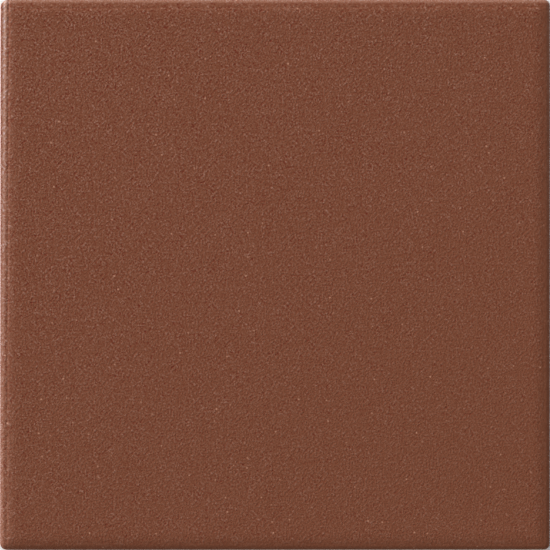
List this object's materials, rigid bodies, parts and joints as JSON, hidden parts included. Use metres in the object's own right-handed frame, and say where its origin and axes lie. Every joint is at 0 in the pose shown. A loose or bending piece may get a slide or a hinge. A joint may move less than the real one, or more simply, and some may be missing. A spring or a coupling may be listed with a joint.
{
  "type": "stoneware tile",
  "caption": "Square unglazed red-brown stoneware floor tile, dry-pressed in one piece, with a soft rounded face edge, straight sides and a keyed waffle back for mortar.",
  "frame": {"origin": "centre of the tile's footprint, on the plane of its back ribs", "axes": "+Z up out of the wear face, X and Y square to the side walls, so +X is right and +Y is up in a straight-down view"},
  "size_m": [0.15, 0.15, 0.011],
  "materials": {
    "stoneware": "matte"
  },
  "bodies": {
    "root": {"tile": "stoneware"}
  },
  "joints": []
}
